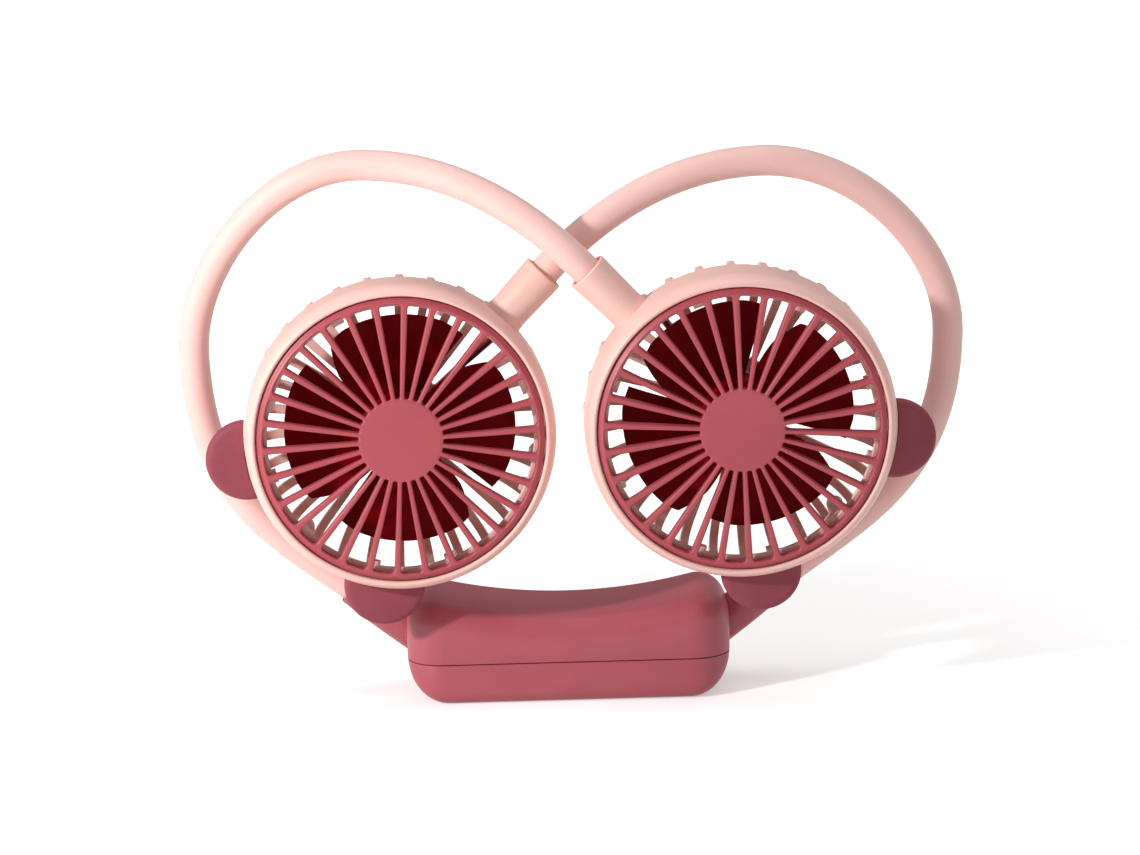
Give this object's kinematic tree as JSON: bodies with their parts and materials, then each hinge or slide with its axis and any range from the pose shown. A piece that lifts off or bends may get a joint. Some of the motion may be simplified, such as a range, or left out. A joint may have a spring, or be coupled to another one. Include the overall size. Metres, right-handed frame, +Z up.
{
  "type": "portable neck fan",
  "caption": "Hands-free neck fan standing on its battery pack: bendable arms crossed into a heart, each carrying a round fan head with spoked grille, ribbed back and half-disc bumpers.",
  "frame": {"origin": "middle of the battery pack's flat underside", "axes": "+X to the right seen from the front, along the pack; -Y the way the air blows, towards the viewer; +Z up"},
  "size_m": [0.2062, 0.0536, 0.1463],
  "materials": {
    "dusty_rose_plastic": "moulded ABS with a fine satin grain",
    "pale_pink_plastic": "moulded ABS, smooth satin",
    "pink_silicone": "soft-touch silicone sleeve, matt",
    "gooseneck_steel": "bare wound steel",
    "bronze_ferrule": "turned and bright",
    "burgundy_plastic": "tinted, lightly glossy",
    "bright_steel": "nickel plated",
    "motor_can": "drawn steel can",
    "lead_wire": "insulated twin wire",
    "cell_can": "foil-wrapped lithium cell",
    "circuit_board": "solder mask",
    "clear_lens": "frosted light guide"
  },
  "bodies": {
    "pack": {"battery_cell": "cell_can", "charge_port": "bright_steel", "control_board": "circuit_board", "indicator_lens": "clear_lens", "left_sleeve": "dusty_rose_plastic", "pack_lower_shell": "dusty_rose_plastic", "pack_upper_shell": "dusty_rose_plastic", "right_sleeve": "dusty_rose_plastic"},
    "left_arm": {"left_arm_core": "gooseneck_steel", "left_arm_cover": "pink_silicone", "left_arm_ferrule": "bronze_ferrule"},
    "right_arm": {"right_arm_core": "gooseneck_steel", "right_arm_cover": "pink_silicone", "right_arm_ferrule": "bronze_ferrule"},
    "left_head": {"left_head_cage_screw_1": "bright_steel", "left_head_cage_screw_2": "bright_steel", "left_head_cage_screw_3": "bright_steel", "left_head_ear_lower": "dusty_rose_plastic", "left_head_ear_outer": "dusty_rose_plastic", "left_head_front_grille": "dusty_rose_plastic", "left_head_front_housing": "pale_pink_plastic", "left_head_motor": "motor_can", "left_head_motor_lead": "lead_wire", "left_head_rear_cage": "pale_pink_plastic"},
    "right_head": {"right_head_cage_screw_1": "bright_steel", "right_head_cage_screw_2": "bright_steel", "right_head_cage_screw_3": "bright_steel", "right_head_ear_lower": "dusty_rose_plastic", "right_head_ear_outer": "dusty_rose_plastic", "right_head_front_grille": "dusty_rose_plastic", "right_head_front_housing": "pale_pink_plastic", "right_head_motor": "motor_can", "right_head_motor_lead": "lead_wire", "right_head_rear_cage": "pale_pink_plastic"},
    "left_impeller": {"left_head_impeller": "burgundy_plastic", "left_head_motor_shaft": "bright_steel"},
    "right_impeller": {"right_head_impeller": "burgundy_plastic", "right_head_motor_shaft": "bright_steel"},
    "power_button": {"power_button": "pale_pink_plastic"}
  },
  "joints": [
    {"name": "left_arm_lean", "type": "hinge", "parent": "pack", "child": "left_arm", "pos_m": [-0.05777, 0.005, 0.02787], "axis": [1, 0, 0], "range_deg": [0, 12]},
    {"name": "right_arm_lean", "type": "hinge", "parent": "pack", "child": "right_arm", "pos_m": [0.05777, 0.005, 0.02787], "axis": [1, 0, 0], "range_deg": [-8, 0]},
    {"name": "left_head_swivel", "type": "hinge", "parent": "right_arm", "child": "left_head", "pos_m": [-0.0419, -0.017, 0.0744], "axis": [0.6909, 0.0411, 0.7218], "range_deg": [-15, 45]},
    {"name": "right_head_swivel", "type": "hinge", "parent": "left_arm", "child": "right_head", "pos_m": [0.0456, -0.0212, 0.0761], "axis": [-0.6911, -0.0535, 0.7208], "range_deg": [-45, 45]},
    {"name": "left_impeller_spin", "type": "hinge", "parent": "left_head", "child": "left_impeller", "pos_m": [-0.0419, -0.017, 0.0744], "axis": [0.0593, -0.9982, 0], "continuous": true},
    {"name": "right_impeller_spin", "type": "hinge", "parent": "right_head", "child": "right_impeller", "pos_m": [0.0456, -0.0212, 0.0761], "axis": [0.0227, -0.9984, -0.0523], "continuous": true},
    {"name": "power_button_press", "type": "slide", "parent": "pack", "child": "power_button", "axis": [0, -1, 0], "range_m": [0, 0.0006], "stiffness_N_per_m": 900}
  ]
}
